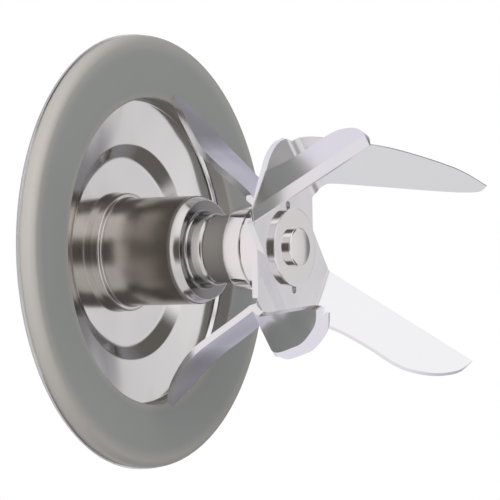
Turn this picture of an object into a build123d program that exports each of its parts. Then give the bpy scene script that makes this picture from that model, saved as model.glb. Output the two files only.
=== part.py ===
from build123d import *
import os
from math import cos, radians, sin, tan

os.makedirs("parts", exist_ok=True)

# Blade unit that closes the bottom of a blender jar, in millimetres.
# The Z axis is the axis of rotation, with the blades at the top, and Z = 0 is the
# underside of the stamped plate's rim, where the jar's base ring clamps it.

# Clearances
PRESS_GAP = 0.01  # a pressed or seated fit, on the radius
RUNNING_GAP = 0.05  # a shaft turning in a hole, on the radius
FACE_GAP = 0.3  # between a face that turns and one that stands still

# Stamped plate
PLATE_R = 40.2
PLATE_T = 0.8
DISH_R = 28.6  # where the flat rim ends
DISH_DEPTH = 0.9  # drop from the rim to the start of the sloping ring
RING_INNER_R = 19.75
RING_FALL = 1.5  # how far the sloping ring falls on its way in
DISC_R = 17.1  # flat disc in the middle
DISC_Z = -3.2  # its upper face
PLATE_BEND_R = 1.1

# Gasket
GASKET_OUTER_R = 39.0
GASKET_INNER_R = 27.9
GASKET_T = 2.6
GASKET_EDGE_R = 1.2
GASKET_INNER_EDGE_R = 0.35

# Bearing housing
FLANGE_R = 11.4
FLANGE_H = 2.4
BODY_R = 9.85
BODY_H = 18.1  # from the plate's disc to the shoulder's top
SHOULDER_R = 2.0
BOSS_R = 6.5
BOSS_H = 3.0
BOSS_ROOT_R = 1.3
SPIGOT_R = 9.4
SPIGOT_H = 6.6
SPIGOT_GAP = 0.15
ROOF_T = 2.3  # from the shoulder's top down to the upper bearing
SEAL_POCKET_R = 6.0
SEAL_POCKET_H = 2.6
RELIEF_R = 10.2  # groove turned above the flange
RELIEF_H = 0.9

# Fastening under the plate
BACKING_WASHER_R = 13.5
BACKING_WASHER_T = 1.0
NUT_FLATS = 24.0
NUT_H = 4.0
NUT_CHAMFER = 1.1

# Ball bearings
BEARING_OUTER_R = 8.0
BEARING_BORE_R = 4.0
BEARING_W = 5.0
BALL_R = 1.19
BALL_COUNT = 9
RACE_WALL = 1.2  # of each race, beside its groove
SHIELD_T = 0.3
CAGE_WALL = 0.9
CAGE_H = 3.3
RACE_CHAMFER = 0.25
SPACER_L = 10.1
SPACER_WALL = 1.2

# Retaining rings
RING_T = 1.0
RING_GROOVE = 0.45
HOUSING_RING_W = 1.1
SHAFT_RING_W = 1.2
RING_MOUTH = 50.0  # degrees left open
LUG_R = 0.9
LUG_HOLE_R = 0.4

# Shaft seal and neck bush
SEAL_LIP_T = 0.7
SEAL_LIP_H = 0.8
NECK_R = 6.1
NECK_H = 4.6
NECK_SPIGOT_R = 5.2
NECK_EDGE = 0.4

# Shaft
SHAFT_R = 4.6  # through the seal and the bush
SEAT_R = 3.25  # through the collars and the blades
SEAT_FLATS = 5.0
SEAT_GAP = 0.05
DRIVE_FLATS = 6.4
DRIVE_L = 10.0
DRIVE_STEP = 0.15  # by which its turned corners are smaller than the journal
DRIVE_CHAMFER = 0.5
JOURNAL_END = 1.2  # of the journal, past the housing's end
HEAD_R = 3.5
HEAD_H = 1.1
HEAD_CROWN = 0.25
HEAD_EDGE_R = 0.35

# Collars, blades and washer
SLINGER_R = 7.7
SLINGER_H = 3.7
SLINGER_EDGE_R = 1.1
COLLAR_R = 7.6
COLLAR_H = 2.8
COLLAR_EDGE = 0.35
BLADE_T = 1.2
CAP_WASHER_R = 6.75
CAP_WASHER_T = 0.9
CAP_WASHER_EDGE = 0.2
BEVEL_W = 2.2  # of the ground edge, across the blade
BEVEL_LEFT = 0.25  # sheet left at the edge of the bevel

# Top blade, whose wings stand up steeply
TOP_AZIMUTH = -30.0
TOP_REACH = 12.8
TOP_RISE = 71.0
TOP_BEND_R = 1.0
INDEX_HOLE_R = 0.65
INDEX_HOLE_AT = 7.65

# Middle blade, whose wings rise less
MIDDLE_AZIMUTH = 34.0
MIDDLE_REACH = 9.5
MIDDLE_RISE = 54.0
MIDDLE_BEND_R = 2.0

# Bottom blade, whose wings go down beside the housing and then flatten
BOTTOM_AZIMUTH = 90.0
BOTTOM_REACH = 8.3
BOTTOM_FALL = 54.0
BOTTOM_BEND_R = 1.6
BOTTOM_KNEE = 19.0
BOTTOM_TIP_FALL = 40.6
BOTTOM_KNEE_R = 18.0

# Heights that follow from the stack
flange_top = DISC_Z + FLANGE_H
body_top = DISC_Z + BODY_H
boss_top = body_top + BOSS_H
upper_bearing_z = body_top - ROOF_T - BEARING_W
lower_bearing_z = upper_bearing_z - SPACER_L - BEARING_W
seal_z = upper_bearing_z + BEARING_W
seal_top = seal_z + SEAL_POCKET_H
spigot_end = DISC_Z - SPIGOT_H
disc_underside = DISC_Z - PLATE_T
nut_top = disc_underside - BACKING_WASHER_T
neck_top = boss_top + NECK_H
slinger_z = neck_top + FACE_GAP
collar_z = slinger_z + SLINGER_H
bottom_blade_z = collar_z + COLLAR_H
middle_blade_z = bottom_blade_z + BLADE_T
top_blade_z = middle_blade_z + BLADE_T
cap_washer_z = top_blade_z + BLADE_T
head_z = cap_washer_z + CAP_WASHER_T
drive_top = spigot_end - JOURNAL_END
hub_bore_r = SEAT_R + SEAT_GAP
hub_bore_flats = SEAT_FLATS + 2 * SEAT_GAP
pitch_r = (BEARING_OUTER_R + BEARING_BORE_R) / 2


def finish(piece, name):
    """Label a finished piece and write it."""
    piece.part.label = name
    export_step(piece.part, f"parts/{name}.step")


# Base plate: one stamping with a flat rim, a sloping ring and a sunk flat disc
with BuildPart() as base_plate:
    with BuildSketch(Plane.XZ):
        with BuildLine():
            FilletPolyline(
                (PLATE_R, PLATE_T),
                (DISH_R, PLATE_T),
                (DISH_R - DISH_DEPTH, PLATE_T - DISH_DEPTH),
                (RING_INNER_R, PLATE_T - DISH_DEPTH - RING_FALL),
                (DISC_R, DISC_Z),
                (SPIGOT_R + SPIGOT_GAP, DISC_Z),
                radius=[PLATE_T, PLATE_T, PLATE_BEND_R, PLATE_BEND_R + PLATE_T],
            )
            offset(amount=PLATE_T, side=Side.LEFT, closed=True)
        make_face()
    revolve(axis=Axis.Z)
finish(base_plate, "base_plate")

# Gasket: flat silicone ring on the plate's rim
with BuildPart() as gasket:
    with BuildSketch(Plane.XY.offset(PLATE_T)):
        Circle(GASKET_OUTER_R)
        Circle(GASKET_INNER_R, mode=Mode.SUBTRACT)
    extrude(amount=GASKET_T)
    rims = gasket.edges().filter_by(GeomType.CIRCLE).group_by(Axis.Z)[-1].sort_by(SortBy.RADIUS)
    fillet(rims[-1], radius=GASKET_EDGE_R)
    inner_rims = gasket.edges().filter_by(GeomType.CIRCLE).group_by(Axis.Z)[-1].sort_by(SortBy.RADIUS)
    fillet(inner_rims[0], radius=GASKET_INNER_EDGE_R)
finish(gasket, "gasket")

# Bearing housing: turned in one piece, with a flange that sits on the plate's disc
# and a threaded spigot that passes through it
with BuildPart() as bearing_housing:
    with BuildSketch(Plane.XZ):
        with BuildLine():
            Polyline(
                (0, spigot_end),
                (SPIGOT_R, spigot_end),
                (SPIGOT_R, DISC_Z),
                (FLANGE_R, DISC_Z),
                (FLANGE_R, flange_top),
                (RELIEF_R, flange_top),
                (RELIEF_R, flange_top + RELIEF_H),
                (BODY_R, flange_top + RELIEF_H),
                (BODY_R, body_top - SHOULDER_R),
            )
            RadiusArc(
                (BODY_R, body_top - SHOULDER_R),
                (BODY_R - SHOULDER_R, body_top),
                -SHOULDER_R,
            )
            Line((BODY_R - SHOULDER_R, body_top), (BOSS_R + BOSS_ROOT_R, body_top))
            RadiusArc(
                (BOSS_R + BOSS_ROOT_R, body_top),
                (BOSS_R, body_top + BOSS_ROOT_R),
                BOSS_ROOT_R,
            )
            Polyline(
                (BOSS_R, body_top + BOSS_ROOT_R),
                (BOSS_R, boss_top),
                (0, boss_top),
                (0, spigot_end),
            )
        make_face()
    revolve(axis=Axis.Z)
    with BuildSketch(Plane.XY.offset(spigot_end)):
        Circle(BEARING_OUTER_R + PRESS_GAP)
    extrude(amount=seal_z - spigot_end, mode=Mode.SUBTRACT)
    with BuildSketch(Plane.XY.offset(seal_z)):
        Circle(SEAL_POCKET_R + PRESS_GAP)
    extrude(amount=SEAL_POCKET_H, mode=Mode.SUBTRACT)
    with BuildSketch(Plane.XY.offset(seal_top)):
        Circle(NECK_SPIGOT_R + PRESS_GAP)
    extrude(amount=boss_top - seal_top, mode=Mode.SUBTRACT)
    with BuildSketch(Plane.XY.offset(lower_bearing_z)):
        Circle(BEARING_OUTER_R + RING_GROOVE)
    extrude(amount=-RING_T, mode=Mode.SUBTRACT)
finish(bearing_housing, "bearing_housing")

# Washer between the plate's underside and the nut
with BuildPart() as backing_washer:
    with BuildSketch(Plane.XY.offset(disc_underside)):
        Circle(BACKING_WASHER_R)
        Circle(SPIGOT_R + SPIGOT_GAP, mode=Mode.SUBTRACT)
    extrude(amount=-BACKING_WASHER_T)
finish(backing_washer, "backing_washer")

# Hexagonal nut on the spigot, with its corners turned off at both faces
with BuildPart() as lock_nut:
    with BuildSketch(Plane.XY.offset(nut_top)):
        RegularPolygon(radius=NUT_FLATS / 2, side_count=6, major_radius=False)
        Circle(SPIGOT_R + PRESS_GAP, mode=Mode.SUBTRACT)
    extrude(amount=-NUT_H)
    with BuildSketch(Plane.XY.offset(nut_top)):
        Circle(NUT_FLATS / 2 / cos(radians(30)))
    extrude(amount=-NUT_H, mode=Mode.INTERSECT)
    with BuildSketch(Plane.XZ) as corner:
        with BuildLine():
            corner_r = NUT_FLATS / 2 / cos(radians(30))
            Polyline(
                (corner_r, nut_top),
                (corner_r, nut_top - NUT_CHAMFER / 2),
                (corner_r - NUT_CHAMFER, nut_top),
                close=True,
            )
        make_face()
        mirror(about=Plane.XY.offset(nut_top - NUT_H / 2))
    revolve(axis=Axis.Z, mode=Mode.SUBTRACT)
finish(lock_nut, "lock_nut")


def shielded_bearing(prefix, z):
    """Deep-groove ball bearing standing on height z: races, balls, cage and shields."""
    middle = z + BEARING_W / 2
    shoulder_out = BEARING_OUTER_R - RACE_WALL
    shoulder_in = BEARING_BORE_R + RACE_WALL
    shield_r = shoulder_out + SHIELD_T

    with BuildPart() as outer_race:
        with BuildSketch(Plane.XY.offset(z)):
            Circle(BEARING_OUTER_R)
            Circle(shoulder_out, mode=Mode.SUBTRACT)
        extrude(amount=BEARING_W)
        for end in (z, z + BEARING_W - SHIELD_T):
            with BuildSketch(Plane.XY.offset(end)):
                Circle(shield_r + PRESS_GAP)
            extrude(amount=SHIELD_T, mode=Mode.SUBTRACT)
        with BuildSketch(Plane.XZ):
            with Locations((pitch_r, middle)):
                Circle(BALL_R + RUNNING_GAP)
        revolve(axis=Axis.Z, mode=Mode.SUBTRACT)
        outer_rims = outer_race.edges().filter_by(GeomType.CIRCLE).sort_by(SortBy.RADIUS)[-2:]
        chamfer(outer_rims, length=RACE_CHAMFER)
    finish(outer_race, f"{prefix}_outer_race")

    with BuildPart() as inner_race:
        with BuildSketch(Plane.XY.offset(z)):
            Circle(shoulder_in)
            Circle(BEARING_BORE_R + PRESS_GAP, mode=Mode.SUBTRACT)
        extrude(amount=BEARING_W)
        with BuildSketch(Plane.XZ):
            with Locations((pitch_r, middle)):
                Circle(BALL_R + RUNNING_GAP)
        revolve(axis=Axis.Z, mode=Mode.SUBTRACT)
    finish(inner_race, f"{prefix}_inner_race")

    with BuildPart() as balls:
        with Locations((0, 0, middle)):
            with PolarLocations(pitch_r, BALL_COUNT):
                Sphere(BALL_R)
    finish(balls, f"{prefix}_balls")

    with BuildPart() as cage:
        with BuildSketch(Plane.XY.offset(middle - CAGE_H / 2)):
            Circle(pitch_r + CAGE_WALL / 2)
            Circle(pitch_r - CAGE_WALL / 2, mode=Mode.SUBTRACT)
        extrude(amount=CAGE_H)
        with Locations((0, 0, middle)):
            with PolarLocations(pitch_r, BALL_COUNT):
                Cylinder(BALL_R + RUNNING_GAP, 3 * CAGE_WALL, rotation=(0, 90, 0), mode=Mode.SUBTRACT)
    finish(cage, f"{prefix}_cage")

    with BuildPart() as shields:
        for end in (z, z + BEARING_W - SHIELD_T):
            with BuildSketch(Plane.XY.offset(end)):
                Circle(shield_r)
                Circle(shoulder_in + RUNNING_GAP, mode=Mode.SUBTRACT)
            extrude(amount=SHIELD_T)
    finish(shields, f"{prefix}_shields")


shielded_bearing("upper_bearing", upper_bearing_z)
shielded_bearing("lower_bearing", lower_bearing_z)

# Sleeve that holds the inner races apart
with BuildPart() as bearing_spacer:
    with BuildSketch(Plane.XY.offset(upper_bearing_z - SPACER_L)):
        Circle(BEARING_BORE_R + SPACER_WALL)
        Circle(BEARING_BORE_R + PRESS_GAP, mode=Mode.SUBTRACT)
    extrude(amount=SPACER_L)
finish(bearing_spacer, "bearing_spacer")


def retaining_ring(name, inner_r, outer_r, lug_r_at):
    """Open spring ring under the lower bearing, with a pierced lug at each end."""
    with BuildPart() as ring:
        with BuildSketch(Plane.XY.offset(lower_bearing_z)):
            Circle(outer_r)
            Circle(inner_r, mode=Mode.SUBTRACT)
            mouth = (2 * outer_r * cos(radians(RING_MOUTH / 2)), 2 * outer_r * sin(radians(RING_MOUTH / 2)))
            with BuildLine():
                Polyline((0, 0), mouth, (mouth[0], -mouth[1]), close=True)
            make_face(mode=Mode.SUBTRACT)
            with PolarLocations(lug_r_at, 2, start_angle=-RING_MOUTH / 2, angular_range=RING_MOUTH, endpoint=True):
                Circle(LUG_R)
            with PolarLocations(lug_r_at, 2, start_angle=-RING_MOUTH / 2, angular_range=RING_MOUTH, endpoint=True):
                Circle(LUG_HOLE_R, mode=Mode.SUBTRACT)
        extrude(amount=-RING_T)
    finish(ring, name)


housing_ring_r = BEARING_OUTER_R + RING_GROOVE
retaining_ring(
    "housing_retaining_ring",
    housing_ring_r - HOUSING_RING_W,
    housing_ring_r - PRESS_GAP,
    BEARING_OUTER_R - LUG_R,
)
shaft_ring_r = BEARING_BORE_R - RING_GROOVE
retaining_ring(
    "shaft_retaining_ring",
    shaft_ring_r + PRESS_GAP,
    shaft_ring_r + SHAFT_RING_W,
    BEARING_BORE_R + LUG_R + RUNNING_GAP,
)

# Lip seal above the upper bearing: a rubber ring with a lip turned towards the jar
with BuildPart() as shaft_seal:
    with BuildSketch(Plane.XZ):
        with BuildLine():
            lip_r = SHAFT_R + RUNNING_GAP
            Polyline(
                (SEAL_POCKET_R, seal_z),
                (SEAL_POCKET_R, seal_top),
                (SEAL_POCKET_R - SEAL_LIP_T, seal_top),
                (lip_r + SEAL_LIP_T, seal_z + SEAL_LIP_H),
                (lip_r, seal_top),
                (lip_r, seal_z),
                close=True,
            )
        make_face()
    revolve(axis=Axis.Z)
finish(shaft_seal, "shaft_seal")

# Neck bush: pressed into the boss, and the last bearing of the shaft
with BuildPart() as neck_bush:
    with BuildSketch(Plane.XY.offset(seal_top)):
        Circle(NECK_SPIGOT_R)
    extrude(amount=boss_top - seal_top)
    with BuildSketch(Plane.XY.offset(boss_top)):
        Circle(NECK_R)
    extrude(amount=NECK_H)
    chamfer(neck_bush.edges().group_by(Axis.Z)[-1], length=NECK_EDGE)
    with BuildSketch(Plane.XY.offset(seal_top)):
        Circle(SHAFT_R + RUNNING_GAP)
    extrude(amount=neck_top - seal_top, mode=Mode.SUBTRACT)
finish(neck_bush, "neck_bush")

# Drive shaft: square end for the motor's socket, bearing journal, thicker part
# through the seal, seat with two flats, and the head that is formed over the washer
with BuildPart() as drive_shaft:
    with BuildSketch(Plane.XZ):
        with BuildLine():
            head_top = head_z + HEAD_H
            Polyline(
                (0, head_top + HEAD_CROWN),
                (0, drive_top),
                (BEARING_BORE_R, drive_top),
                (BEARING_BORE_R, lower_bearing_z - RING_T),
                (BEARING_BORE_R - RING_GROOVE, lower_bearing_z - RING_T),
                (BEARING_BORE_R - RING_GROOVE, lower_bearing_z),
                (BEARING_BORE_R, lower_bearing_z),
                (BEARING_BORE_R, seal_z),
                (SHAFT_R, seal_z),
                (SHAFT_R, slinger_z),
                (SEAT_R, slinger_z),
                (SEAT_R, head_z),
                (HEAD_R, head_z),
                (HEAD_R, head_top - HEAD_EDGE_R),
            )
            RadiusArc((HEAD_R, head_top - HEAD_EDGE_R), (HEAD_R - HEAD_EDGE_R, head_top), -HEAD_EDGE_R)
            crown_r = ((HEAD_R - HEAD_EDGE_R) ** 2 + HEAD_CROWN**2) / (2 * HEAD_CROWN)
            RadiusArc((HEAD_R - HEAD_EDGE_R, head_top), (0, head_top + HEAD_CROWN), -crown_r)
        make_face()
    revolve(axis=Axis.Z)
    with BuildSketch(Plane.XY.offset(slinger_z)):
        Circle(SHAFT_R)
        Rectangle(2 * SHAFT_R, SEAT_FLATS, mode=Mode.SUBTRACT)
    extrude(amount=head_z - slinger_z, mode=Mode.SUBTRACT)
    with BuildSketch(Plane.XY.offset(drive_top)):
        Circle(BEARING_BORE_R - DRIVE_STEP)
        Rectangle(DRIVE_FLATS, DRIVE_FLATS, mode=Mode.INTERSECT)
    extrude(amount=-DRIVE_L)
    chamfer(drive_shaft.edges().group_by(Axis.Z)[0], length=DRIVE_CHAMFER)
finish(drive_shaft, "drive_shaft")

# Slinger collar: polished, with a rounded lower edge that throws liquid off the neck
with BuildPart() as slinger_collar:
    with BuildSketch(Plane.XY.offset(slinger_z)):
        Circle(SLINGER_R)
    extrude(amount=SLINGER_H)
    fillet(slinger_collar.edges().group_by(Axis.Z)[0], radius=SLINGER_EDGE_R)
    with BuildSketch(Plane.XY.offset(slinger_z)):
        Circle(hub_bore_r)
    extrude(amount=SLINGER_H, mode=Mode.SUBTRACT)
finish(slinger_collar, "slinger_collar")

# Spacer collar under the blades
with BuildPart() as spacer_collar:
    with BuildSketch(Plane.XY.offset(collar_z)):
        Circle(COLLAR_R)
    extrude(amount=COLLAR_H)
    chamfer(spacer_collar.edges().group_by(Axis.Z)[0], length=COLLAR_EDGE)
    with BuildSketch(Plane.XY.offset(collar_z)):
        Circle(hub_bore_r)
    extrude(amount=COLLAR_H, mode=Mode.SUBTRACT)
finish(spacer_collar, "spacer_collar")


def sheet_plane(azimuth, reach, z, rise):
    """Plane on the upper face of a wing: origin on its fold, local X along the fold towards
    the cutting edge, local Y out along the wing, and local Z down through the sheet."""
    out = Vector(cos(radians(azimuth)), sin(radians(azimuth)), 0)
    along = Vector(-out.Y, out.X, 0)
    up_wing = out * cos(radians(rise)) + Vector(0, 0, sin(radians(rise)))
    return Plane(origin=out * reach + Vector(0, 0, z), x_dir=along, z_dir=along.cross(up_wing))


def half_section(azimuth, z):
    """Plane that cuts a blade across its folds: local X outwards, local Y up."""
    out = Vector(cos(radians(azimuth)), sin(radians(azimuth)), 0)
    return Plane(origin=(0, 0, z), x_dir=out, z_dir=out.cross(Vector(0, 0, 1)))


WING_L = 36.0  # longer than any wing, for the strip that a blade is cut from
STRIP_HALF = 24.0


def bent_strip(azimuth, z, upper_line, radii):
    """Strip of sheet folded alike on both sides, whose upper face follows upper_line."""
    mirrored = [(-x, y) for x, y in reversed(upper_line)]
    with BuildPart() as strip:
        with BuildSketch(half_section(azimuth, z)):
            with BuildLine():
                FilletPolyline(*mirrored, *upper_line, radius=[*reversed(radii), *radii])
                offset(amount=BLADE_T, side=Side.RIGHT, closed=True)
            make_face()
        extrude(amount=STRIP_HALF, both=True)
    return strip.part


def flatted_hole(z):
    """Solid of the hole with two flats through a blade's hub, as the shaft's seat is shaped."""
    with BuildPart() as hole:
        with BuildSketch(Plane.XY.offset(z)):
            Circle(hub_bore_r)
            Rectangle(2 * hub_bore_r, hub_bore_flats, mode=Mode.INTERSECT)
        extrude(amount=BLADE_T)
    return hole.part


def wing_line(lead, trail, fold_allowance):
    """Outline of a wing from its two edges, carried a little past the fold."""
    lead_root = lead @ 0
    trail_root = trail @ 0
    Polyline(
        (lead_root.X, lead_root.Y),
        (lead_root.X, -fold_allowance),
        (trail_root.X, -fold_allowance),
        (trail_root.X, trail_root.Y),
    )


def ground_edge(plane, points):
    """Wedge that grinds the cutting edge: it follows the edge along the sheet's underside."""
    with BuildPart() as wedge:
        with BuildLine(plane.offset(BLADE_T)) as edge:
            Spline(*points)
        section = Plane(origin=edge.line @ 0, x_dir=plane.z_dir, z_dir=edge.line % 0)
        with BuildSketch(section):
            with BuildLine():
                Polyline(
                    (0, -BEVEL_W),
                    (2 * (BEVEL_LEFT - BLADE_T), BEVEL_W),
                    (BLADE_T, BEVEL_W),
                    (BLADE_T, -BEVEL_W),
                    close=True,
                )
            make_face()
        sweep()
    return wedge.part


# Top blade
top_z = top_blade_z + BLADE_T
top_allowance = BLADE_T * tan(radians(TOP_RISE / 2))
top_strip = bent_strip(
    TOP_AZIMUTH,
    top_z,
    [(TOP_REACH, 0), (TOP_REACH + WING_L * cos(radians(TOP_RISE)), WING_L * sin(radians(TOP_RISE)))],
    [TOP_BEND_R],
)
top_lead = [(2.7, 0), (-10.2, 29.5)]
with BuildPart() as top_outline:
    with BuildSketch(sheet_plane(TOP_AZIMUTH, 0, top_z, 0)):
        with BuildLine():
            FilletPolyline(
                (2.7, TOP_REACH + top_allowance),
                (2.7, TOP_REACH),
                (11.8, -6.2),
                (8.0, -TOP_REACH),
                (8.0, -TOP_REACH - top_allowance),
                (-2.7, -TOP_REACH - top_allowance),
                (-2.7, -TOP_REACH),
                (-11.8, 6.2),
                (-8.0, TOP_REACH),
                (-8.0, TOP_REACH + top_allowance),
                radius=0.4,
                close=True,
            )
        make_face()
    extrude(amount=2 * BLADE_T)
    for turn in (0, 180):
        with BuildSketch(sheet_plane(TOP_AZIMUTH + turn, TOP_REACH, top_z, TOP_RISE)):
            with BuildLine():
                lead = Line(*top_lead)
                trail = Spline((-8, 0), (-8.8, 6), (-11.4, 13), (-13.1, 20.5), (-12.4, 25.5), (-10.2, 29.5))
                wing_line(lead, trail, top_allowance)
            make_face()
        extrude(amount=2 * BLADE_T)
top_edges = [
    ground_edge(sheet_plane(TOP_AZIMUTH + turn, TOP_REACH, top_z, TOP_RISE), top_lead) for turn in (0, 180)
]
top_hole = flatted_hole(top_blade_z)
with BuildPart() as top_blade:
    add(top_strip)
    add(top_outline.part, mode=Mode.INTERSECT)
    add(top_edges, mode=Mode.SUBTRACT)
    add(top_hole, mode=Mode.SUBTRACT)
    with BuildSketch(Plane.XY.offset(top_blade_z)):
        with PolarLocations(INDEX_HOLE_AT, 2, start_angle=96):
            Circle(INDEX_HOLE_R)
    extrude(amount=BLADE_T, mode=Mode.SUBTRACT)
finish(top_blade, "top_blade")

# Middle blade
middle_z = middle_blade_z + BLADE_T
middle_allowance = BLADE_T * tan(radians(MIDDLE_RISE / 2))
middle_strip = bent_strip(
    MIDDLE_AZIMUTH,
    middle_z,
    [(MIDDLE_REACH, 0), (MIDDLE_REACH + WING_L * cos(radians(MIDDLE_RISE)), WING_L * sin(radians(MIDDLE_RISE)))],
    [MIDDLE_BEND_R],
)
middle_lead = [(18, 0), (14.3, 6.5), (7, 18.4), (-3.3, 29.8), (-6.4, 31.9)]
with BuildPart() as middle_outline:
    with BuildSketch(sheet_plane(MIDDLE_AZIMUTH, 0, middle_z, 0)):
        with BuildLine():
            half = Polyline(
                (18.0, MIDDLE_REACH),
                (18.0, MIDDLE_REACH + middle_allowance),
                (-2.4, MIDDLE_REACH + middle_allowance),
                (-2.4, MIDDLE_REACH),
                (-12.9, 2.4),
            )
            shoulder = Spline((-12.9, 2.4), (-17.3, -4.6), (-18.0, -MIDDLE_REACH))
            add([half.rotate(Axis.Z, 180), shoulder.rotate(Axis.Z, 180)])
        make_face()
    extrude(amount=2 * BLADE_T)
    for turn in (0, 180):
        with BuildSketch(sheet_plane(MIDDLE_AZIMUTH + turn, MIDDLE_REACH, middle_z, MIDDLE_RISE)):
            with BuildLine():
                lead = Spline(*middle_lead)
                trail = FilletPolyline((-2.4, 0), (5.6, 2.9), (-6.9, 29.6), (-6.4, 31.9), radius=[2.2, 1.2])
                wing_line(lead, trail, middle_allowance)
            make_face()
        extrude(amount=2 * BLADE_T)
middle_edges = [
    ground_edge(sheet_plane(MIDDLE_AZIMUTH + turn, MIDDLE_REACH, middle_z, MIDDLE_RISE), middle_lead)
    for turn in (0, 180)
]
middle_hole = flatted_hole(middle_blade_z)
with BuildPart() as middle_blade:
    add(middle_strip)
    add(middle_outline.part, mode=Mode.INTERSECT)
    add(middle_edges, mode=Mode.SUBTRACT)
    add(middle_hole, mode=Mode.SUBTRACT)
finish(middle_blade, "middle_blade")

# Bottom blade
bottom_z = bottom_blade_z + BLADE_T
knee_drop = (BOTTOM_KNEE - BOTTOM_REACH) * tan(radians(BOTTOM_FALL))
wing_fall = (BOTTOM_FALL + BOTTOM_TIP_FALL) / 2
bottom_allowance = BLADE_T
bottom_strip = bent_strip(
    BOTTOM_AZIMUTH,
    bottom_z,
    [
        (BOTTOM_REACH, 0),
        (BOTTOM_KNEE, -knee_drop),
        (BOTTOM_KNEE + WING_L / 2, -knee_drop - WING_L / 2 * tan(radians(BOTTOM_TIP_FALL))),
    ],
    [BOTTOM_BEND_R, BOTTOM_KNEE_R],
)
with BuildPart() as bottom_outline:
    with BuildSketch(sheet_plane(BOTTOM_AZIMUTH, 0, bottom_z + BLADE_T, 0)):
        with BuildLine():
            FilletPolyline(
                (7.2, BOTTOM_REACH + bottom_allowance),
                (7.2, -3.0),
                (3.0, -BOTTOM_REACH),
                (3.0, -BOTTOM_REACH - bottom_allowance),
                (-7.2, -BOTTOM_REACH - bottom_allowance),
                (-7.2, 3.0),
                (-3.0, BOTTOM_REACH),
                (-3.0, BOTTOM_REACH + bottom_allowance),
                radius=0.6,
                close=True,
            )
        make_face()
    extrude(amount=3 * BLADE_T)
    for turn in (0, 180):
        with BuildSketch(sheet_plane(BOTTOM_AZIMUTH + turn, BOTTOM_REACH, bottom_z, -wing_fall)):
            with BuildLine():
                lead = Spline((7.2, 0), (5.3, 8), (5.1, 11.3), (2.5, 20), (-0.4, 27.9), (-1.3, 30.5))
                trail = Spline((-3.0, 0), (-3.0, 5.4), (-5.5, 14.4), (-6.3, 21.4), (-5.0, 26.3), (-1.3, 30.5))
                wing_line(lead, trail, bottom_allowance)
            make_face()
        extrude(amount=4 * BLADE_T, both=True)
bottom_hole = flatted_hole(bottom_blade_z)
with BuildPart() as bottom_blade:
    add(bottom_strip)
    add(bottom_outline.part, mode=Mode.INTERSECT)
    add(bottom_hole, mode=Mode.SUBTRACT)
finish(bottom_blade, "bottom_blade")

# Washer under the head
with BuildPart() as cap_washer:
    with BuildSketch(Plane.XY.offset(cap_washer_z)):
        Circle(CAP_WASHER_R)
    extrude(amount=CAP_WASHER_T)
    chamfer(cap_washer.edges().group_by(Axis.Z)[-1], length=CAP_WASHER_EDGE)
    with BuildSketch(Plane.XY.offset(cap_washer_z)):
        Circle(hub_bore_r)
    extrude(amount=CAP_WASHER_T, mode=Mode.SUBTRACT)
finish(cap_washer, "cap_washer")
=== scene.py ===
from math import radians, sin, tan

import bmesh
import bpy
from mathutils import Matrix, Vector
from mathutils.geometry import interpolate_bezier


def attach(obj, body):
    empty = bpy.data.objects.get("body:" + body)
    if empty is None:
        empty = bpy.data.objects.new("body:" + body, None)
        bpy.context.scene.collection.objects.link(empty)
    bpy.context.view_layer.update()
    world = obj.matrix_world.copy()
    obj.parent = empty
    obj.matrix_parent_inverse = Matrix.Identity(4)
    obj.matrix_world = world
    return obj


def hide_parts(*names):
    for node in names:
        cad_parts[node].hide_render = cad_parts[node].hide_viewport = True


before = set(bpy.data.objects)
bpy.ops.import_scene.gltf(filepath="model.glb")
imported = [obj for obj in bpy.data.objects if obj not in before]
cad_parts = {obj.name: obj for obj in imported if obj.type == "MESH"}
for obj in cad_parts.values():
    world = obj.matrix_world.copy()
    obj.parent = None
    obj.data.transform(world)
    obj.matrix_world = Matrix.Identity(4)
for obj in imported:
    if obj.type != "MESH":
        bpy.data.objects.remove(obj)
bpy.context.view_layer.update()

MM = 0.001


# Camera: stands 1.2 m off, 32 degrees above the plane of the gasket, and is rolled a
# quarter turn, so that the unit's axis lies level in the picture.
LENS = 473.2
SENSOR = 36.0
FAR_CLIP = 20.0
EYE = Vector((-1.00685, -0.01574, 0.65340))
EYE_RIGHT = Vector((0.530079, -0.020831, 0.847692))
EYE_UP = Vector((0.0, 0.999698, 0.024567))
EYE_BACK = Vector((-0.847948, -0.013022, 0.529919))

lens = bpy.data.cameras.new("photo_view")
lens.lens = LENS
lens.sensor_width = SENSOR
lens.clip_end = FAR_CLIP
camera = bpy.data.objects.new("photo_view", lens)
eye_turn = Matrix((EYE_RIGHT, EYE_UP, EYE_BACK)).transposed()
camera.matrix_world = Matrix.Translation(EYE) @ eye_turn.to_4x4()
bpy.context.scene.collection.objects.link(camera)
bpy.context.scene.camera = camera
bpy.context.scene.view_settings.view_transform = "Standard"


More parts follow.
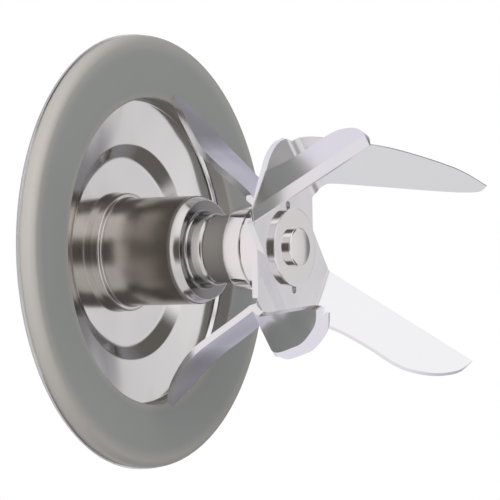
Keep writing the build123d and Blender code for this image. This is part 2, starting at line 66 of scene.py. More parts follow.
# Studio: the steel mirrors a room that is white on one side of the camera and light grey
# on the other, with a dark band and two dark corners behind the unit at eye height and a
# dark patch behind the camera. Only mirrored rays see it; the camera sees white.
WHITE = (1.0, 1.0, 1.0)
FILL = 0.62
ROOM_BASE = (0.84, 0.83, 0.84)
BEHIND_X = (0.15, 0.55)  # where the ramp behind the unit starts and where it is full
BEHIND_RAMP = [
    # height of the direction, colour
    (-1.00, (0.80, 0.77, 0.85)),
    (-0.45, (0.80, 0.78, 0.86)),
    (-0.25, (0.60, 0.59, 0.68)),
    (-0.08, (0.34, 0.335, 0.39)),
    (0.10, (0.21, 0.205, 0.22)),
    (0.32, (0.22, 0.215, 0.23)),
    (0.45, (0.66, 0.65, 0.66)),
    (1.00, (0.86, 0.85, 0.85)),
]
ROOM_PATCHES = [
    # middle of the patch, cosines where it starts and where it is full, colour
    ((-0.29, 0.79, 0.54), (0.72, 0.92), WHITE),
    ((-0.27, -0.96, 0.10), (0.72, 0.92), (0.74, 0.74, 0.745)),
    ((0.17, 0.48, -0.86), (0.75, 0.92), (0.80, 0.77, 0.85)),
    ((-0.85, 0.00, -0.53), (0.75, 0.92), (0.88, 0.84, 0.86)),
    ((-0.85, 0.00, 0.53), (0.86, 0.97), (0.10, 0.09, 0.08)),
    ((0.45, 0.72, 0.53), (0.84, 0.95), (0.12, 0.11, 0.10)),
    ((0.45, -0.72, 0.53), (0.84, 0.95), (0.12, 0.11, 0.10)),
]
NODE_STEP = 180  # between nodes in the shader editor


def feed(tree, value, socket):
    """Link an output to an input, or set the input to a plain value or colour."""
    if isinstance(value, bpy.types.NodeSocket):
        tree.links.new(value, socket)
    elif socket.type == "RGBA":
        socket.default_value = (*value, 1)
    else:
        socket.default_value = value


def add_node(tree, kind, **values):
    """New shader node; a value goes to the node's setting or input of that name."""
    node = tree.nodes.new(kind)
    node.location.x = NODE_STEP * len(tree.nodes)
    for name, value in values.items():
        if hasattr(node, name):
            setattr(node, name, value)
        else:
            feed(tree, value, node.inputs[name.replace("_", " ")])
    return node


def vector_maths(tree, operation, *values):
    """Vector maths node over outputs or plain vectors; returns its outputs."""
    node = add_node(tree, "ShaderNodeVectorMath", operation=operation)
    for value, socket in zip(values, node.inputs):
        feed(tree, value, socket)
    return node.outputs


def mix_colours(tree, first, second, mask):
    """The first colour where the mask is 0, the second where it is 1."""
    node = add_node(tree, "ShaderNodeMix", data_type="RGBA")
    feed(tree, mask, node.inputs[0])
    sockets = [socket for socket in node.inputs if socket.type == "RGBA"]
    for socket, colour in zip(sockets, (first, second)):
        feed(tree, colour, socket)
    return next(socket for socket in node.outputs if socket.type == "RGBA")


def mix_shaders(tree, mask, first, second):
    """The first shader where the mask is 0, the second where it is 1."""
    node = add_node(tree, "ShaderNodeMixShader")
    for source, socket in zip((mask, first, second), node.inputs):
        feed(tree, source, socket)
    return node.outputs[0]


def smooth_mask(tree, value, start, full):
    """0 before start, 1 past full, and smooth between."""
    node = add_node(
        tree,
        "ShaderNodeMapRange",
        interpolation_type="SMOOTHSTEP",
        Value=value,
        From_Min=start,
        From_Max=full,
    )
    return node.outputs["Result"]


def colour_ramp(tree, value, stops):
    """Colour that changes with a value; stops are pairs of value and colour."""
    node = add_node(tree, "ShaderNodeValToRGB", Fac=value)
    band = node.color_ramp
    while len(band.elements) < len(stops):
        band.elements.new(0.5)
    for element, (position, _) in zip(band.elements, stops):
        element.position = position
    for element, (_, colour) in zip(band.elements, stops):
        element.color = (*colour, 1)
    return node.outputs["Color"]


world = bpy.data.worlds.new("studio_room")
world.use_nodes = True
bpy.context.scene.world = world
room = world.node_tree
room.nodes.clear()
towards = add_node(room, "ShaderNodeTexCoord").outputs["Generated"]
direction = add_node(room, "ShaderNodeSeparateXYZ", Vector=towards).outputs
elevation = add_node(room, "ShaderNodeMapRange", Value=direction["Z"], From_Min=-1.0, From_Max=1.0)
stops = [((z + 1) / 2, tint) for z, tint in BEHIND_RAMP]
behind = colour_ramp(room, elevation.outputs["Result"], stops)
colour = mix_colours(room, ROOM_BASE, behind, smooth_mask(room, direction["X"], *BEHIND_X))
for middle, (start, full), tint in ROOM_PATCHES:
    facing = vector_maths(room, "DOT_PRODUCT", towards, Vector(middle).normalized())["Value"]
    colour = mix_colours(room, colour, tint, smooth_mask(room, facing, start, full))
rays = add_node(room, "ShaderNodeLightPath").outputs
mirrored = add_node(room, "ShaderNodeBackground", Color=colour).outputs[0]
fill = add_node(room, "ShaderNodeBackground", Color=WHITE, Strength=FILL).outputs[0]
backdrop = add_node(room, "ShaderNodeBackground", Color=WHITE).outputs[0]
lit = mix_shaders(room, rays["Is Glossy Ray"], fill, mirrored)
seen = mix_shaders(room, rays["Is Camera Ray"], lit, backdrop)
add_node(room, "ShaderNodeOutputWorld", Surface=seen)


def soft_light(name, place, size, power):
    """Square area lamp that faces the unit and isn't mirrored in it."""
    lamp = bpy.data.lights.new(name, "AREA")
    lamp.size = size
    lamp.energy = power
    softbox = bpy.data.objects.new(name, lamp)
    aim = Vector(place).to_track_quat("Z", "Y").to_matrix().to_4x4()
    softbox.matrix_world = Matrix.Translation(place) @ aim
    softbox.visible_glossy = False
    bpy.context.scene.collection.objects.link(softbox)


soft_light("side_softbox", place=(-0.9, 0.30, 0.05), size=0.5, power=5.5)
soft_light("front_softbox", place=(-0.5, 0.5, 0.8), size=0.6, power=3.0)


# Floor: pale and far below, so that the unit's shadow stays soft. It is white to the
# camera, which looks through it from below, and isn't mirrored in the steel.
FLOOR_DROP = 0.55
FLOOR_HALF = 6.0
FLOOR_TINT = (0.85, 0.85, 0.85)


def as_object(name, shape):
    """Turn a bmesh into an object of the scene."""
    mesh = bpy.data.meshes.new(name)
    shape.to_mesh(mesh)
    shape.free()
    made = bpy.data.objects.new(name, mesh)
    bpy.context.scene.collection.objects.link(made)
    return made


def new_material(name):
    """Material with an empty node tree; returns both."""
    material = bpy.data.materials.new(name)
    material.use_nodes = True
    material.node_tree.nodes.clear()
    return material, material.node_tree


floor_shape = bmesh.new()
bmesh.ops.create_grid(
    floor_shape,
    x_segments=1,
    y_segments=1,
    size=FLOOR_HALF,
    matrix=Matrix.Translation((0, 0, -FLOOR_DROP)),
)
floor = as_object("pale_floor", floor_shape)
floor_paint, tree = new_material("pale_floor")
floor.data.materials.append(floor_paint)
matt = add_node(tree, "ShaderNodeBsdfDiffuse", Color=FLOOR_TINT).outputs[0]
glow = add_node(tree, "ShaderNodeEmission", Strength=1.0).outputs[0]
clear = add_node(tree, "ShaderNodeBsdfTransparent").outputs[0]
from_below = add_node(tree, "ShaderNodeNewGeometry").outputs["Backfacing"]
rays = add_node(tree, "ShaderNodeLightPath").outputs
to_camera = mix_shaders(tree, from_below, glow, clear)
unmirrored = mix_shaders(tree, rays["Is Camera Ray"], matt, to_camera)
floor_surface = mix_shaders(tree, rays["Is Glossy Ray"], unmirrored, clear)
add_node(tree, "ShaderNodeOutputMaterial", Surface=floor_surface)


# Base plate: pressed from 0.8 mm stainless sheet and brightly polished, with a flat rim
# under the gasket, a ring that slopes in to a step, and a sunk disc that carries the
# housing. Handling has left faint brown smudges.
PLATE_SHEET = 0.8
PLATE_LINE = [
    # radius, height, rounding
    (39.7, 0.8, 0),
    (28.6, 0.8, 0.8),
    (27.7, -0.1, 0.8),
    (19.75, -1.6, 1.1),
    (17.1, -3.2, 1.9),
    (9.55, -3.2, 0),
]
SMUDGE_TINT = (0.58, 0.50, 0.43)
SMUDGE_SCALE = 75.0
SMUDGE_RANGE = (0.56, 0.74)  # noise where a smudge starts and where it is full
SMUDGE_COVER = 0.45
PATCH_SCALE = 60.0  # of the slow patches in steel
MARK_SCALE = 2000.0  # of its tool marks
MARK_STRENGTH = 0.3
WAVE_SCALE = 55.0  # of the waves in thin sheet
SHARP = radians(14)  # an edge that turns more than this is drawn crisp
TURN_STEPS = 160  # round the axis
ROUND_STEPS = 8  # over a rounded corner
SEAM = 1e-5  # mm, between points that are the same


def object_place(tree):
    """Where a point lies on the unit."""
    return add_node(tree, "ShaderNodeTexCoord").outputs["Object"]


def noise(tree, place, scale, detail, distortion=0.0):
    """Noise from 0 to 1 over a place."""
    node = add_node(
        tree, "ShaderNodeTexNoise", Vector=place, Scale=scale, Detail=detail, Distortion=distortion
    )
    return node.outputs[0]


def shader_group(name, inputs, outputs):
    """Empty node group; returns it, what it is given, and what it puts out."""
    group = bpy.data.node_groups.new(name, "ShaderNodeTree")
    for in_out, sockets in (("INPUT", inputs), ("OUTPUT", outputs)):
        for label, kind in sockets.items():
            group.interface.new_socket(label, in_out=in_out, socket_type=f"NodeSocket{kind}")
    given = add_node(group, "NodeGroupInput").outputs
    put_out = add_node(group, "NodeGroupOutput").inputs
    return group, given, put_out


def maths(tree, operation, *values):
    """Maths node over outputs or plain numbers; returns its output."""
    node = add_node(tree, "ShaderNodeMath", operation=operation)
    for value, socket in zip(values, node.inputs):
        feed(tree, value, socket)
    return node.outputs[0]


def swing(tree, pattern, spread, middle):
    """A value that follows a pattern of 0 to 1, by the spread, round its middle."""
    centred = maths(tree, "SUBTRACT", pattern, 0.5)
    return maths(tree, "MULTIPLY_ADD", centred, spread, middle)


def steel_group():
    """Slow patches of tone and roughness, fine tool marks, and the waves of thin sheet."""
    group, given, put_out = shader_group(
        "steel_surface",
        inputs={
            "Vector": "Vector",
            "Mark vector": "Vector",
            "Light": "Color",
            "Dark": "Color",
            "Roughness": "Float",
            "Spread": "Float",
        },
        outputs={"Color": "Color", "Roughness": "Float", "Marks": "Float", "Waves": "Float"},
    )
    patches = noise(group, given["Mark vector"], PATCH_SCALE, detail=4.0)
    tone = mix_colours(group, given["Dark"], given["Light"], patches)
    feed(group, tone, put_out["Color"])
    feed(group, swing(group, patches, given["Spread"], given["Roughness"]), put_out["Roughness"])
    feed(group, noise(group, given["Mark vector"], MARK_SCALE, detail=2.0), put_out["Marks"])
    feed(group, noise(group, given["Vector"], WAVE_SCALE, detail=1.0), put_out["Waves"])
    return group


STEEL_SURFACE = steel_group()


def steel(name, light, dark, roughness, spread, mark_depth, stretch=(1, 1, 1), azimuth=0.0, waviness=0.0):
    """Steel finish. Stretch is small along the tool marks, in axes turned by the azimuth,
    and waviness is the height of the waves in thin sheet."""
    material, tree = new_material(name)
    place = object_place(tree)
    turn = (0, 0, radians(-azimuth))
    along = add_node(tree, "ShaderNodeMapping", Vector=place, Rotation=turn, Scale=stretch)
    surface = add_node(
        tree,
        "ShaderNodeGroup",
        node_tree=STEEL_SURFACE,
        Vector=place,
        Mark_vector=along.outputs[0],
        Light=light,
        Dark=dark,
        Roughness=roughness,
        Spread=spread,
    ).outputs
    marks = add_node(
        tree, "ShaderNodeBump", Strength=MARK_STRENGTH, Distance=mark_depth, Height=surface["Marks"]
    )
    if waviness:
        waves = add_node(tree, "ShaderNodeBump", Strength=1.0, Distance=waviness, Height=surface["Waves"])
        feed(tree, waves.outputs[0], marks.inputs["Normal"])
    shader = add_node(
        tree,
        "ShaderNodeBsdfPrincipled",
        Base_Color=surface["Color"],
        Metallic=1.0,
        Roughness=surface["Roughness"],
        Normal=marks.outputs[0],
    )
    add_node(tree, "ShaderNodeOutputMaterial", Surface=shader.outputs[0])
    return material


def shader_input(material, name):
    """An input of the finish's own shader."""
    shader = next(node for node in material.node_tree.nodes if node.type == "BSDF_PRINCIPLED")
    return shader.inputs[name]


def recolour(material, tint, mask):
    """Lay a tint over the finish's colour where the mask is 1."""
    tree = material.node_tree
    base = shader_input(material, "Base Color")
    feed(tree, mix_colours(tree, base.links[0].from_socket, tint, mask), base)


def rounded(corners):
    """Section through corners of radius, height and rounding, all in mm."""
    places = [Vector((r, 0, z)) for r, z, _ in corners]
    line = []
    for index, (_, _, bend) in enumerate(corners):
        corner = places[index]
        if not bend:
            line.append(corner)
            continue
        before = (places[index - 1] - corner).normalized()
        after = (places[(index + 1) % len(places)] - corner).normalized()
        half = before.angle(after) / 2
        centre = corner + (before + after).normalized() * bend / sin(half)
        start = (corner + before * bend / tan(half) - centre).normalized()
        end = (corner + after * bend / tan(half) - centre).normalized()
        steps = [step / ROUND_STEPS for step in range(ROUND_STEPS + 1)]
        line += [centre + start.slerp(end, step) * bend for step in steps]
    return line


def turned(corners, closed=True):
    """Spin a section once round the axis."""
    shape = bmesh.new()
    points = [shape.verts.new(place) for place in rounded(corners)]
    pairs = list(zip(points, points[1:])) + ([(points[-1], points[0])] if closed else [])
    edges = [shape.edges.new(pair) for pair in pairs]
    bmesh.ops.spin(
        shape,
        geom=points + edges,
        cent=(0, 0, 0),
        axis=(0, 0, 1),
        angle=radians(360),
        steps=TURN_STEPS,
        use_merge=True,
    )
    bmesh.ops.remove_doubles(shape, verts=shape.verts, dist=SEAM)
    return shape


def keep_piece(name, shape, node, body, material, wall=0.0):
    """Make a shape in mm the piece that stands for its CAD node. A wall is the thickness
    that sheet gets. Large faces set the normals, so that flats look flat beside rounds."""
    bmesh.ops.scale(shape, vec=(MM, MM, MM), verts=shape.verts)
    bmesh.ops.recalc_face_normals(shape, faces=shape.faces)
    for face in shape.faces:
        face.smooth = True
    for edge in shape.edges:
        edge.smooth = edge.calc_face_angle(0) < SHARP
    piece = as_object(name, shape)
    piece.data.materials.append(material)
    if wall:
        sheet = piece.modifiers.new("sheet", "SOLIDIFY")
        sheet.thickness = wall * MM
        sheet.use_even_offset = True
    piece.modifiers.new("flat_faces", "WEIGHTED_NORMAL").keep_sharp = True
    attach(piece, body)
    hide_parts(node)


plate_steel = steel(
    "plate_steel",
    light=(0.88, 0.87, 0.87),
    dark=(0.80, 0.785, 0.78),
    roughness=0.13,
    spread=0.12,
    mark_depth=0.002 * MM,
    waviness=0.6 * MM,
)
tree = plate_steel.node_tree
smudges = add_node(
    tree,
    "ShaderNodeMapRange",
    Value=noise(tree, object_place(tree), SMUDGE_SCALE, detail=2.5, distortion=0.6),
    From_Min=SMUDGE_RANGE[0],
    From_Max=SMUDGE_RANGE[1],
    To_Max=SMUDGE_COVER,
)
recolour(plate_steel, SMUDGE_TINT, smudges.outputs["Result"])
plate = turned(PLATE_LINE, closed=False)
keep_piece("plate_pressing", plate, "base_plate", "base", plate_steel, wall=PLATE_SHEET)


# Gasket: moulded grey silicone that lies on the plate's rim. Its outer edge is well
# rounded, its inner edge nearly sharp. Both edges carry painted light: they are painted
# paler for the light that gets into them.
GASKET_SECTION = [(27.9, 0.8, 0), (39.5, 0.8, 0), (39.5, 3.4, 1.4), (27.9, 3.4, 0.35)]
OUTER_EDGE = (35.6 * MM, 39.4 * MM)  # radii where the painted light on the outer edge starts and where it is full
OUTER_EDGE_PAINTED_LIGHT = (0.385, 0.365, 0.34)
INNER_EDGE = (29.6 * MM, 28.0 * MM)
INNER_EDGE_PAINTED_LIGHT = (0.33, 0.315, 0.295)
GRAIN_STRENGTH = 0.5
GRAIN_SPREAD = 0.1  # of the roughness, over the grain


def moulded_group():
    """Slow patches of tone, and a fine grain that changes the roughness."""
    group, given, put_out = shader_group(
        "moulded_surface",
        inputs={
            "Vector": "Vector",
            "Light": "Color",
            "Dark": "Color",
            "Roughness": "Float",
            "Grain size": "Float",
        },
        outputs={"Color": "Color", "Roughness": "Float", "Grain": "Float"},
    )
    patches = noise(group, given["Vector"], scale=40.0, detail=5.0)
    grain = noise(group, given["Vector"], given["Grain size"], detail=3.0)
    feed(group, mix_colours(group, given["Dark"], given["Light"], patches), put_out["Color"])
    feed(group, swing(group, grain, GRAIN_SPREAD, given["Roughness"]), put_out["Roughness"])
    feed(group, grain, put_out["Grain"])
    return group


MOULDED_SURFACE = moulded_group()


def moulded(name, light, dark, roughness, grain_size):
    """Matte finish of rubber, plastic or sintered metal."""
    material, tree = new_material(name)
    surface = add_node(
        tree,
        "ShaderNodeGroup",
        node_tree=MOULDED_SURFACE,
        Vector=object_place(tree),
        Light=light,
        Dark=dark,
        Roughness=roughness,
        Grain_size=grain_size,
    ).outputs
    grain = add_node(
        tree, "ShaderNodeBump", Strength=GRAIN_STRENGTH, Distance=0.01 * MM, Height=surface["Grain"]
    )
    shader = add_node(
        tree,
        "ShaderNodeBsdfPrincipled",
        Base_Color=surface["Color"],
        Roughness=surface["Roughness"],
        Normal=grain.outputs[0],
    )
    add_node(tree, "ShaderNodeOutputMaterial", Surface=shader.outputs[0])
    return material


def distance_from_axis(tree):
    """Radius at which a point lies, in metres."""
    level = vector_maths(tree, "MULTIPLY", object_place(tree), (1, 1, 0))["Vector"]
    return vector_maths(tree, "LENGTH", level)["Value"]


silicone = moulded(
    "grey_silicone",
    light=(0.285, 0.295, 0.288),
    dark=(0.262, 0.272, 0.262),
    roughness=0.5,
    grain_size=3000.0,
)
tree = silicone.node_tree
radius = distance_from_axis(tree)
# Painted light: paler bands at the outer and inner edges stand in for light that gets into them.
recolour(silicone, OUTER_EDGE_PAINTED_LIGHT, smooth_mask(tree, radius, *OUTER_EDGE))
recolour(silicone, INNER_EDGE_PAINTED_LIGHT, smooth_mask(tree, radius, *INNER_EDGE))
keep_piece("gasket_ring", turned(GASKET_SECTION), "gasket", "base", silicone)


# Bearing housing: turned from stainless bar. The wall and the foot have a satin finish,
# brownish towards the shoulder; the flange, shoulder and boss are polished, and the end
# face is painted dark, a painted reflection of the dark neck. The nut and washer that hold
# it under the plate are of the same bar.
HOUSING_SECTION = [
    (8.01, -9.8, 0),
    (9.4, -9.8, 0),
    (9.4, -3.2, 0),
    (10.8, -3.2, 0),
    (10.8, -1.6, 0.35),
    (9.85, -1.6, 0.3),
    (9.85, 13.6, 2.4),
    (9.15, 14.9, 0.12),
    (6.8, 14.45, 0.5),
    (6.5, 17.9, 0.8),
    (5.21, 17.9, 0),
    (5.21, 15.2, 0),
    (6.01, 15.2, 0),
    (6.01, 12.6, 0),
    (8.01, 12.6, 0),
    (8.01, -7.5, 0),
    (8.45, -7.5, 0),
    (8.45, -8.5, 0),
    (8.01, -8.5, 0),
]
WALL_HEIGHTS = (-1.2 * MM, 12.4 * MM)
FOOT_HEIGHTS = (-3.3 * MM, -2.1 * MM)
SATIN_FADE = 0.5 * MM
SATIN_PALE = (0.50, 0.465, 0.43), (0.60, 0.56, 0.52)  # stained, clean
SATIN_BROWN = (0.22, 0.195, 0.175), (0.36, 0.32, 0.275)
BROWN_HEIGHTS = (0.6 * MM, 5.6 * MM)  # where the wall starts to brown and where it is brown
END_FACE_OUTER = (9.08 * MM, 8.95 * MM)  # radii where the painted reflection on the end face starts and where it is full
END_FACE_INNER = (6.75 * MM, 7.3 * MM)
END_FACE_PAINTED_REFLECTION = (0.28, 0.27, 0.275)
POLISHED_ROUGHNESS = 0.17
SATIN_ROUGHNESS = 0.24
TURNED = (0.1, 0.1, 1)  # stretch of the marks that run round the axis


def satin_mask(tree, height, low, high):
    """1 between two heights, 0 a fade outside them."""
    above = smooth_mask(tree, height, low - SATIN_FADE, low)
    below = smooth_mask(tree, height, high + SATIN_FADE, high)
    return maths(tree, "MULTIPLY", above, below)


def dress(node_name, material):
    """Give a CAD node its material."""
    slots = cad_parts[node_name].data.materials
    slots.clear()
    slots.append(material)


turned_steel = steel(
    "turned_steel",
    light=(0.76, 0.745, 0.735),
    dark=(0.66, 0.64, 0.62),
    roughness=POLISHED_ROUGHNESS,
    spread=0.06,
    mark_depth=0.005 * MM,
    stretch=TURNED,
)
tree = turned_steel.node_tree
place = object_place(tree)
height = add_node(tree, "ShaderNodeSeparateXYZ", Vector=place).outputs["Z"]
satin = maths(
    tree, "MAXIMUM", satin_mask(tree, height, *WALL_HEIGHTS), satin_mask(tree, height, *FOOT_HEIGHTS)
)
stains = noise(tree, place, scale=150.0, detail=3.0)
pale = mix_colours(tree, *SATIN_PALE, stains)
brown = mix_colours(tree, *SATIN_BROWN, stains)
recolour(turned_steel, mix_colours(tree, pale, brown, smooth_mask(tree, height, *BROWN_HEIGHTS)), satin)
radius = distance_from_axis(tree)
# Painted reflection: the end face between shoulder and boss is painted dark for the dark neck that it
# mirrors.
end_face_reflection = maths(
    tree, "MULTIPLY", smooth_mask(tree, radius, *END_FACE_OUTER), smooth_mask(tree, radius, *END_FACE_INNER)
)
recolour(turned_steel, END_FACE_PAINTED_REFLECTION, end_face_reflection)
satin_sheen = add_node(
    tree, "ShaderNodeMapRange", Value=satin, To_Min=POLISHED_ROUGHNESS, To_Max=SATIN_ROUGHNESS
)
feed(tree, satin_sheen.outputs["Result"], shader_input(turned_steel, "Roughness"))
keep_piece(
    "housing_turning", turned(HOUSING_SECTION), "bearing_housing", "base", turned_steel
)
nut_steel = steel(
    "nut_steel",
    light=(0.74, 0.73, 0.72),
    dark=(0.62, 0.61, 0.60),
    roughness=0.24,
    spread=0.08,
    mark_depth=0.005 * MM,
    stretch=TURNED,
)
dress("lock_nut", nut_steel)
dress("backing_washer", nut_steel)


# Neck bush: sintered metal, matte and grey-brown, pressed into the boss with its spigot
# so that it stands out under the slinger.
sintered_metal = moulded(
    "sintered_bush",
    light=(0.19, 0.178, 0.165),
    dark=(0.15, 0.14, 0.13),
    roughness=0.45,
    grain_size=5000.0,
)
dress("neck_bush", sintered_metal)


# Collars, cap washer and shaft: turned from stainless bar and brightly polished. The
# slinger, the spacer and the washer sit on the shaft, whose formed head holds the blades
# between them.
HUB_BORE = 3.3
SLINGER_SECTION = [(HUB_BORE, 22.8, 0), (7.7, 22.8, 0.5), (7.7, 26.5, 0.15), (HUB_BORE, 26.5, 0)]
WASHER_SECTION = [(HUB_BORE, 32.9, 0), (7.1, 32.9, 0), (7.1, 33.8, 0.2), (HUB_BORE, 33.8, 0)]

polished_steel = steel(
    "polished_steel",
    light=(0.92, 0.895, 0.89),
    dark=(0.86, 0.835, 0.83),
    roughness=0.10,
    spread=0.05,
    mark_depth=0.002 * MM,
    stretch=TURNED,
)
for name, section, node in (
    ("slinger_ring", SLINGER_SECTION, "slinger_collar"),
    ("washer_disc", WASHER_SECTION, "cap_washer"),
):
    keep_piece(name, turned(section), node, "rotor", polished_steel)
dress("spacer_collar", polished_steel)
dress("drive_shaft", polished_steel)


# Top blade: blanked from 1.2 mm stainless sheet, pierced for the shaft and with two index
# holes, ground along one straight edge of each wing, and folded up at the wings' roots.
TOP_AZIMUTH = -34.4
TOP_LEAD = [(3.8, 0), (-4.1, 29.9)]
TOP_TRAIL = [
    (-6.9, 0),
    (-7.1, 5.5),
    (-8.3, 11.5),
    (-9.7, 16.5),
    (-9.9, 20),
    (-9.0, 24.3),
    (-6.9, 28),
    (-4.1, 29.9),
]
TOP_HUB = [(-10.4, 4.8)]
INDEX_HOLES = [(5.8, -4.9, 0.75), (-5.8, 4.9, 0.75)]
SHEET = 1.2
GROUND_WIDTH = 2.2
GROUND_LEFT = 0.25  # sheet left at the ground edge
FOLD_CUTS = 10
CURVE_STEPS = 6
SPECK = 0.002  # mm, the smallest edge that a cut may leave
HAIR = 0.0001  # mm, past a fold's line
ROLLED = (0.12, 1, 0.12)  # stretch of the marks that run along the sheet


def smooth_line(points):
    """Points along a smooth line through the given ones."""
    points = [Vector((x, y, 0)) for x, y in points]
    ends = [points[0], *points, points[-1]]
    line = []
    for before, start, end, after in zip(ends, ends[1:], ends[2:], ends[3:]):
        pull_start = start + (end - before) / 6
        pull_end = end - (after - start) / 6
        line += interpolate_bezier(start, pull_start, pull_end, end, CURVE_STEPS)[:-1]
    return line + [points[-1]]


def prism(sections):
    """Closed solid through rows of points."""
    shape = bmesh.new()
    rings = []
    for section in sections:
        points = [shape.verts.new(place) for place in section]
        rings.append([shape.edges.new(pair) for pair in zip(points, points[1:] + points[:1])])
    for near, far in zip(rings, rings[1:]):
        bmesh.ops.bridge_loops(shape, edges=near + far)
    for ring in (rings[0], rings[-1]):
        bmesh.ops.contextual_create(shape, geom=ring)
    bmesh.ops.recalc_face_normals(shape, faces=shape.faces)
    return shape


def grinding_wheel(lead):
    """Wedge that takes the underside away along a wing's cutting edge."""
    climb = 2 * (SHEET - GROUND_LEFT)
    wedge = [(-GROUND_WIDTH, 0), (GROUND_WIDTH, climb), (GROUND_WIDTH, -SHEET), (-GROUND_WIDTH, -SHEET)]
    sections = []
    for index, place in enumerate(lead):
        along = (lead[min(index + 1, len(lead) - 1)] - lead[max(index - 1, 0)]).normalized()
        out = Vector((along.y, -along.x, 0))
        sections.append([place + out * side + Vector((0, 0, rise - SHEET)) for side, rise in wedge])
    return prism(sections)


def punch(x, y, radius):
    """Round punch for a hole through the sheet."""
    shape = bmesh.new()
    bmesh.ops.create_cone(
        shape,
        cap_ends=True,
        segments=48,
        radius1=radius,
        radius2=radius,
        depth=4 * SHEET,
        matrix=Matrix.Translation((x, y, 0)),
    )
    return shape


def cut_away(blank, tools):
    """Blank less the tools, as a new bmesh."""
    blank = as_object("blank", blank)
    tools = [as_object("tool", tool) for tool in tools]
    for tool in tools:
        cut = blank.modifiers.new("cut", "BOOLEAN")
        cut.object = tool
        cut.solver = "EXACT"
    bpy.context.view_layer.update()
    worked = bpy.data.meshes.new_from_object(blank.evaluated_get(bpy.context.evaluated_depsgraph_get()))
    shape = bmesh.new()
    shape.from_mesh(worked)
    for held in (blank, *tools):
        bpy.data.objects.remove(held)
    return shape


def fold(shape, side, reach, bend_r, rise):
    """Fold the wing on one side of the blank up in small turns, from the tip inwards."""
    step = radians(rise) / FOLD_CUTS
    start = reach - bend_r * tan(radians(rise) / 2)
    lines = [start + (cut + 0.5) * bend_r * step for cut in range(FOLD_CUTS)]
    for y in lines:
        everything = [*shape.verts, *shape.edges, *shape.faces]
        bmesh.ops.bisect_plane(shape, geom=everything, plane_co=(0, side * y, 0), plane_no=(0, 1, 0))
    for y in reversed(lines):
        outer = [vert for vert in shape.verts if side * vert.co.y > y + HAIR]
        bend = Matrix.Rotation(side * step, 3, "X")
        bmesh.ops.rotate(shape, verts=outer, cent=(0, side * y, 0), matrix=bend)


def folded_blade(azimuth, top, reach, bend_r, rises, lead, trail, hub, holes):
    """Flat blade with a wing at each end, cut and then folded up; all in mm and degrees.

    Top is the height of its upper face, reach the distance from the axis to a fold, and
    rises the angles of the two wings. Lead and trail run from a wing's root to its tip, X
    across the wing and Y along it. Hub is the outline between the root of one wing's trail
    and the other wing's lead.
    """
    outline = []
    tools = [punch(*hole) for hole in holes]
    for side, rise in zip((1, -1), rises):
        setback = bend_r * tan(radians(rise) / 2)
        root = Vector((0, reach + bend_r * radians(rise) - 2 * setback, 0))
        cutting_edge = [side * (root + place) for place in lead]
        back = [side * (root + place) for place in reversed(trail[:-1])]
        outline += cutting_edge + back + [side * Vector((x, y, 0)) for x, y in hub]
        tools.append(grinding_wheel(cutting_edge))
    underside = [place - Vector((0, 0, SHEET)) for place in outline]
    shape = cut_away(prism([outline, underside]), tools)
    for side, rise in zip((1, -1), rises):
        fold(shape, side, reach, bend_r, rise)
    bmesh.ops.remove_doubles(shape, verts=shape.verts, dist=SPECK)
    bmesh.ops.dissolve_degenerate(shape, edges=shape.edges, dist=SPECK)
    scraps = [vert for vert in shape.verts if not vert.link_faces]
    bmesh.ops.delete(shape, geom=scraps, context="VERTS")
    turn = Matrix.Rotation(radians(azimuth - 90), 4, "Z") @ Matrix.Diagonal((-1, 1, 1, 1))
    bmesh.ops.transform(shape, matrix=Matrix.Translation((0, 0, top)) @ turn, verts=shape.verts)
    return shape


def blade_steel(name, azimuth):
    """Blade sheet, with its rolling marks along the wings."""
    return steel(
        name,
        light=(0.92, 0.91, 0.925),
        dark=(0.85, 0.84, 0.86),
        roughness=0.16,
        spread=0.08,
        mark_depth=0.003 * MM,
        stretch=ROLLED,
        azimuth=azimuth,
        waviness=0.9 * MM,
    )


top_shape = folded_blade(
    azimuth=TOP_AZIMUTH,
    top=32.9,
    reach=13.0,
    bend_r=1.0,
    rises=(52, 68),
    lead=[Vector((x, y, 0)) for x, y in TOP_LEAD],
    trail=smooth_line(TOP_TRAIL),
    hub=TOP_HUB,
    holes=[(0, 0, HUB_BORE), *INDEX_HOLES],
)
top_steel = blade_steel("top_blade_steel", TOP_AZIMUTH)
keep_piece("top_blade_folded", top_shape, "top_blade", "rotor", top_steel)


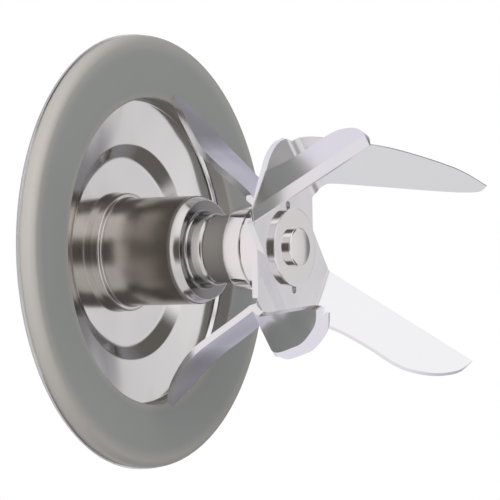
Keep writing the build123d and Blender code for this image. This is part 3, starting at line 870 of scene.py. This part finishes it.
# Middle blade: of the same sheet and made in the same way, with broad curved wings that
# are ground along their outer edge. It lies under the top blade.
MIDDLE_AZIMUTH = 41.0
MIDDLE_LEAD = [(12.7, 0), (12.0, 3.6), (8.1, 10.6), (4.0, 17.0), (-3.5, 25.4), (-9.2, 29.4)]
MIDDLE_TRAIL = [
    (0.5, 0),
    (1.2, 1.9),
    (0.8, 4.0),
    (-3.4, 12.8),
    (-7.8, 22.0),
    (-9.3, 25.6),
    (-9.9, 27.9),
    (-9.2, 29.4),
]
MIDDLE_HUB = [
    (0.5, 13.2),
    (-10.9, 3.2),
    (-12.9, -0.8),
    (-14.1, -4.0),
    (-15.1, -6.6),
    (-15.4, -8.3),
    (-15.4, -10.3),
    (-15.0, -12.0),
    (-14.0, -13.8),
]

middle_shape = folded_blade(
    azimuth=MIDDLE_AZIMUTH,
    top=31.7,
    reach=15.0,
    bend_r=2.5,
    rises=(67, 62),
    lead=smooth_line(MIDDLE_LEAD),
    trail=smooth_line(MIDDLE_TRAIL),
    hub=MIDDLE_HUB,
    holes=[(0, 0, HUB_BORE)],
)
middle_steel = blade_steel("middle_blade_steel", MIDDLE_AZIMUTH)
keep_piece("middle_blade_folded", middle_shape, "middle_blade", "rotor", middle_steel)


# Bottom blade: of the same sheet again, with two wings folded down beside the housing. It
# sits on the spacer, under the middle blade.
BOTTOM_AZIMUTH = 90.0
dress("bottom_blade", blade_steel("bottom_blade_steel", BOTTOM_AZIMUTH))


# Bearings, spacer, rings and seal: inside the housing. The races, balls and shields are of
# ground steel, the cages of nylon, the retaining rings of blackened spring steel and the
# seal of rubber.
bearing_steel = steel(
    "bearing_steel",
    light=(0.76, 0.76, 0.77),
    dark=(0.66, 0.66, 0.67),
    roughness=0.15,
    spread=0.05,
    mark_depth=0.002 * MM,
    stretch=TURNED,
)
nylon = moulded(
    "nylon_cage",
    light=(0.62, 0.55, 0.42),
    dark=(0.58, 0.5, 0.38),
    roughness=0.4,
    grain_size=4000.0,
)
for where in ("upper", "lower"):
    for part in ("outer_race", "inner_race", "balls", "shields"):
        dress(f"{where}_bearing_{part}", bearing_steel)
    dress(f"{where}_bearing_cage", nylon)
dress("bearing_spacer", bearing_steel)
spring_steel = steel(
    "spring_steel",
    light=(0.12, 0.12, 0.125),
    dark=(0.07, 0.07, 0.075),
    roughness=0.35,
    spread=0.1,
    mark_depth=0.002 * MM,
)
dress("housing_retaining_ring", spring_steel)
dress("shaft_retaining_ring", spring_steel)
rubber = moulded(
    "seal_rubber",
    light=(0.03, 0.03, 0.03),
    dark=(0.02, 0.02, 0.02),
    roughness=0.55,
    grain_size=4000.0,
)
dress("shaft_seal", rubber)
